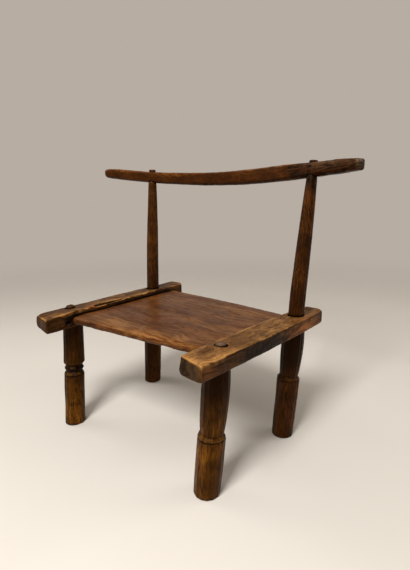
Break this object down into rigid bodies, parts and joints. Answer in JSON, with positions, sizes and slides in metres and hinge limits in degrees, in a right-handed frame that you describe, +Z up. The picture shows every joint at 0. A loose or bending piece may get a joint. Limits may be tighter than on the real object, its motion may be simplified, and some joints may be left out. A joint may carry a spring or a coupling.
{
  "type": "birthing chair",
  "caption": "Low African birthing chair: a wide hewn seat plank let into side rails, short turned front legs, and rear posts that rise from the floor to a bowed, upswept crest rail.",
  "frame": {"origin": "on the floor, under the centre of the chair's bounding box", "axes": "+Z up, -Y the way a sitter faces, +X to the right of someone who looks at the chair from the front"},
  "size_m": [0.8366, 0.5452, 0.715],
  "materials": {
    "rail_wood": "worn, waxed",
    "seat_wood": "worn, waxed",
    "leg_wood": "dark patina",
    "post_wood": "dark patina",
    "crest_wood": "worn, waxed"
  },
  "bodies": {
    "root": {"left_rail": "rail_wood", "right_rail": "rail_wood", "seat_plank": "seat_wood", "front_left_leg": "leg_wood", "front_right_leg": "leg_wood", "rear_left_post": "post_wood", "rear_right_post": "post_wood", "crest_rail": "crest_wood"}
  },
  "joints": []
}
